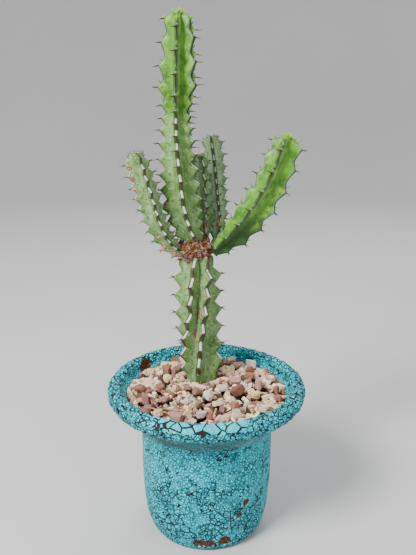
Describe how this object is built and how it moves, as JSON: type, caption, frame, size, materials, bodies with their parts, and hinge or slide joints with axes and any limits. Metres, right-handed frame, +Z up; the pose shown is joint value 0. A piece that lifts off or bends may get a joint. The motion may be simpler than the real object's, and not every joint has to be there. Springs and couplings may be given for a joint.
{
  "type": "potted euphorbia",
  "caption": "Spiny candelabra euphorbia: a ribbed, toothed green stem with upright branches from a corky crown, in a flared crackle-painted pot topped with gravel.",
  "frame": {"origin": "centre of the pot's foot, on the surface that the pot stands on", "axes": "+Z up along the pot's axis, -Y towards the plant's front, +X to the side of the long right-hand branch"},
  "size_m": [0.15, 0.15, 0.3832],
  "materials": {
    "crackled_turquoise": "satin turquoise crackle paint over dark brown clay",
    "potting_mix": "dark crumbly soil",
    "gravel": "rough mixed stone",
    "stem_green": "waxy green skin with a horny margin",
    "cork": "fibrous orange brown cork",
    "stone_cream": "rough stone",
    "stone_mauve": "rough stone",
    "stone_grey": "rough stone",
    "stone_rust": "rough stone"
  },
  "bodies": {
    "root": {"crown_callus": "cork", "gravel_bed": "gravel", "left_branch": "stem_green", "long_back_branch": "stem_green", "main_stem": "stem_green", "pot": "crackled_turquoise", "potting_mix": "potting_mix", "right_branch": "stem_green", "short_back_branch": "stem_green", "stone_01": "stone_cream", "stone_02": "stone_mauve", "stone_03": "stone_grey", "stone_04": "stone_rust", "stone_05": "stone_cream", "stone_06": "stone_mauve", "stone_07": "stone_grey", "stone_08": "stone_rust", "stone_09": "stone_cream", "stone_10": "stone_mauve", "stone_11": "stone_grey", "stone_12": "stone_rust", "stone_13": "stone_cream", "stone_14": "stone_mauve", "stone_15": "stone_grey", "stone_16": "stone_rust", "stone_17": "stone_cream", "stone_18": "stone_mauve", "stone_19": "stone_grey", "stone_20": "stone_rust", "stone_21": "stone_cream", "stone_22": "stone_mauve", "stone_23": "stone_grey", "stone_24": "stone_rust", "stone_25": "stone_cream", "stone_26": "stone_mauve", "stone_27": "stone_grey", "stone_28": "stone_rust", "stone_29": "stone_cream", "stone_30": "stone_mauve", "stone_31": "stone_grey", "stone_32": "stone_rust", "stone_33": "stone_cream", "stone_34": "stone_mauve", "stone_35": "stone_grey", "stone_36": "stone_rust", "stone_37": "stone_cream", "stone_38": "stone_mauve", "stone_39": "stone_grey", "stone_40": "stone_rust", "tall_branch": "stem_green"}
  },
  "joints": []
}
